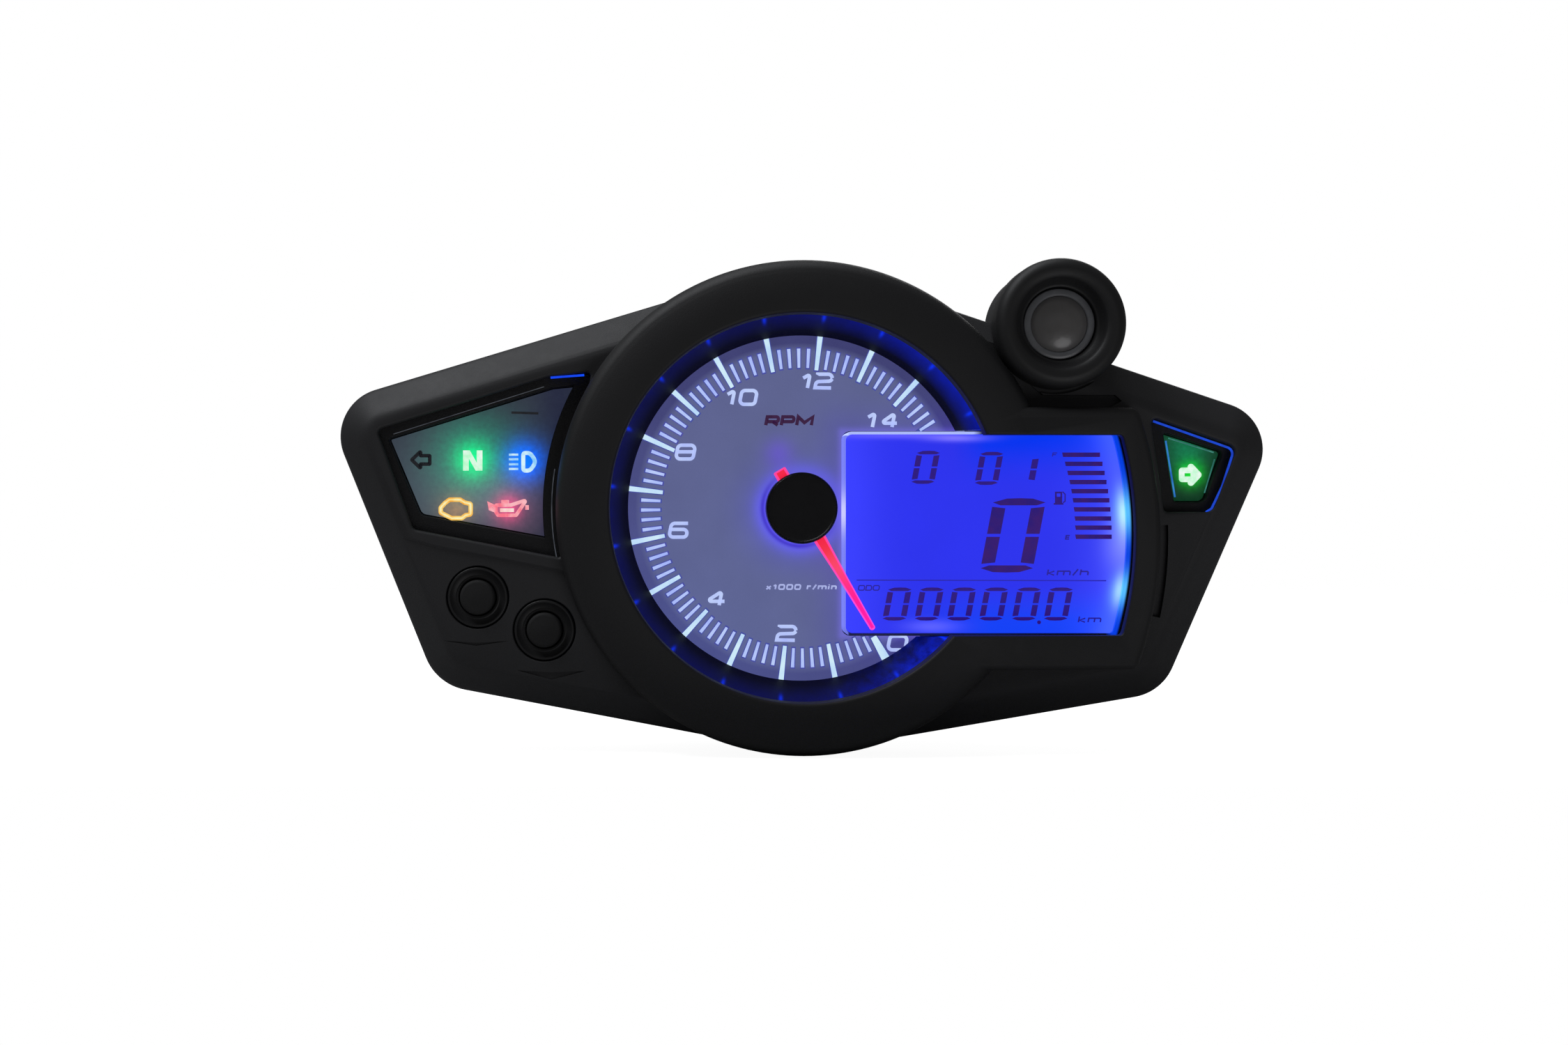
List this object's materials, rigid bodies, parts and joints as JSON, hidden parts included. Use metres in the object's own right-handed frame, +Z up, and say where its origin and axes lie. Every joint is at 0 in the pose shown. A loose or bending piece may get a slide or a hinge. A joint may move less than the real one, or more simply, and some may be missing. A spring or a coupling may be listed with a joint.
{
  "type": "motorcycle instrument cluster",
  "caption": "Wide black instrument cluster with an illuminated rev counter and needle, a blue display, tell-tale windows, two push buttons and a round shift light.",
  "frame": {"origin": "centre of the flat rear face, on the pointer's axis", "axes": "+X to the right as the rider sees it, +Y from the face to the rear, +Z up"},
  "size_m": [0.2196, 0.048, 0.1158],
  "materials": {
    "black_gloss": "polished",
    "black_rubber": "satin",
    "black_shell": "fine matt texture",
    "blue_light": "tinted, lit from behind",
    "brass": "machined",
    "chip": "moulded epoxy",
    "circuit_board": "green solder mask on glass-fibre board",
    "clear_lens": "polished, clear",
    "copper": "enamelled copper winding",
    "dial_print": "printed, lit from behind",
    "display_blue": "blue display, lit from behind",
    "lamp_lens": "smoked, polished",
    "needle_red": "lit from within",
    "panel_print": "printed sheet",
    "steel": "plated",
    "white_plastic": "moulded"
  },
  "bodies": {
    "casing": {"button_collar_left": "black_shell", "button_collar_right": "black_shell", "case_screw_left": "steel", "case_screw_lower_left": "steel", "case_screw_lower_right": "steel", "case_screw_right": "steel", "case_screw_upper_left": "steel", "case_screw_upper_right": "steel", "connector_pins": "brass", "connector_shell": "black_shell", "dial_light_guide": "clear_lens", "dial_light_ring": "blue_light", "dial_plate": "dial_print", "dial_reflector": "white_plastic", "filter_capacitor": "steel", "front_cover": "black_shell", "housing_gasket": "black_rubber", "indicator_board_left": "circuit_board", "indicator_board_right": "circuit_board", "indicator_lens_left": "clear_lens", "indicator_lens_right": "clear_lens", "indicator_sheet_left": "panel_print", "indicator_sheet_right": "panel_print", "lcd_backlight": "clear_lens", "lcd_glass": "display_blue", "lcd_holder": "white_plastic", "lcd_pin_header": "chip", "light_box_left": "black_shell", "light_box_right": "black_shell", "main_board": "circuit_board", "main_lens": "clear_lens", "microcontroller": "chip", "motor_case_front": "black_shell", "motor_case_rear": "black_shell", "motor_coil_a": "copper", "motor_coil_b": "copper", "motor_stator": "steel", "mount_insert_left": "brass", "mount_insert_right": "brass", "mount_insert_top": "brass", "rear_housing": "black_shell", "shaft_bush": "brass", "shift_light_board": "circuit_board", "shift_light_hood": "black_shell", "shift_light_led": "lamp_lens", "shift_light_lens": "lamp_lens", "shift_light_reflector": "steel", "switch_body_left": "chip", "switch_body_right": "chip", "vent_plug": "black_rubber"},
    "needle": {"needle_blade": "needle_red", "needle_cap": "black_gloss", "needle_shaft": "steel", "output_gear": "white_plastic"},
    "idler": {"idler_gear": "white_plastic"},
    "rotor": {"motor_rotor": "chip"},
    "button_left_body": {"button_left": "black_rubber", "switch_plunger_left": "white_plastic"},
    "button_right_body": {"button_right": "black_rubber", "switch_plunger_right": "white_plastic"}
  },
  "joints": [
    {"name": "needle_turn", "type": "hinge", "parent": "casing", "child": "needle", "pos_m": [0, 0, 0], "axis": [0, 1, 0], "range_deg": [0, 270]},
    {"name": "idler_turn", "type": "hinge", "parent": "casing", "child": "idler", "pos_m": [0, 0, 0.0096], "axis": [0, 1, 0], "range_deg": [-1351, 1]},
    {"name": "rotor_turn", "type": "hinge", "parent": "casing", "child": "rotor", "pos_m": [0.00693, 0, 0.0136], "axis": [0, 1, 0], "range_deg": [-1, 5401]},
    {"name": "button_left_press", "type": "slide", "parent": "casing", "child": "button_left_body", "axis": [0, 1, 0], "range_m": [0, 0.0012], "stiffness_N_per_m": 1500},
    {"name": "button_right_press", "type": "slide", "parent": "casing", "child": "button_right_body", "axis": [0, 1, 0], "range_m": [0, 0.0012], "stiffness_N_per_m": 1500}
  ],
  "couplings": [
    {"joint": "idler_turn", "follows": "needle_turn", "ratio": -5},
    {"joint": "rotor_turn", "follows": "needle_turn", "ratio": 20}
  ]
}
